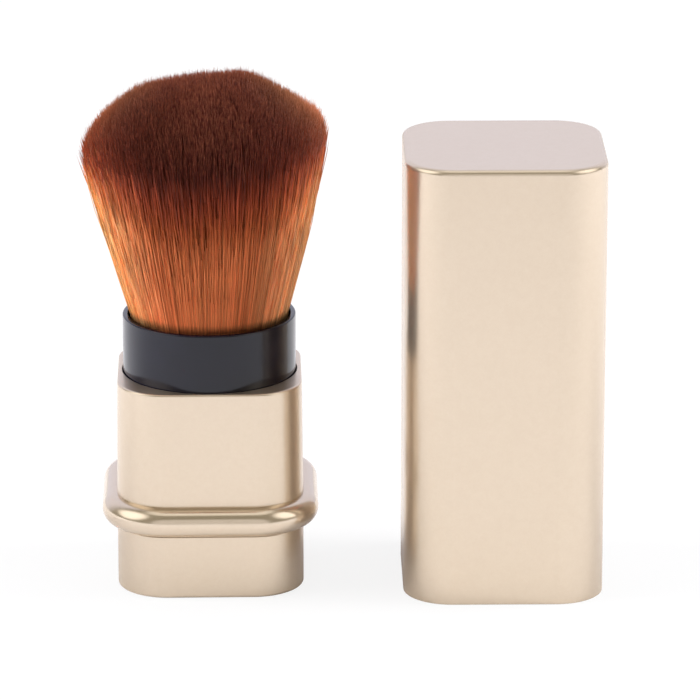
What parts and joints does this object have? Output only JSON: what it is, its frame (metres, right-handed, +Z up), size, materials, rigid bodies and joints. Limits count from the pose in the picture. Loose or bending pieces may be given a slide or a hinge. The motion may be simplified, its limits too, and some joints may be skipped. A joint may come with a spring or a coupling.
{
  "type": "retractable makeup brush",
  "caption": "Domed two-tone powder brush in a square metal case: a sleeve with a grip bead slides up a round tube to gather the hair, and a deep square cap stands beside it.",
  "frame": {"origin": "centre of the foot's underside, on the brush's axis", "axes": "+Z up along the brush's axis towards the hair, +X to the right towards the cap that stands beside the brush, +Y to the back"},
  "size_m": [0.0799, 0.0371, 0.0797],
  "materials": {
    "gold_foot": "fine blasted and anodised pale gold, satin",
    "gold_sleeve": "fine blasted and anodised pale gold, satin",
    "gold_bead": "anodised pale gold, brighter satin",
    "gold_cap": "fine blasted and anodised pale gold, satin",
    "black_gloss_tube": "black, glossy",
    "black_moulding": "black moulded, matt",
    "steel_weight": "turned",
    "bare_aluminium": "drawn, bare",
    "root_resin": "set resin",
    "hair": "fine synthetic fibre, copper with dark brown tips"
  },
  "bodies": {
    "handle": {"foot_shell": "gold_foot", "foot_core": "black_moulding", "base_weight": "steel_weight", "brush_tube": "black_gloss_tube", "ferrule_cup": "bare_aluminium", "root_resin": "root_resin", "bristles": "hair"},
    "sleeve": {"sleeve_shell": "gold_sleeve", "sleeve_core": "black_moulding", "grip_bead": "gold_bead", "stop_ring": "black_moulding"},
    "cap": {"cap_shell": "gold_cap", "cap_liner": "black_moulding"}
  },
  "joints": [
    {"name": "sleeve_slide", "type": "slide", "parent": "handle", "child": "sleeve", "axis": [0, 0, 1], "range_m": [0, 0.018], "deforming": ["bristles"]},
    {"name": "cap_lift", "type": "slide", "parent": "handle", "child": "cap", "axis": [0, 0, 1], "range_m": [0, 0.066]}
  ]
}
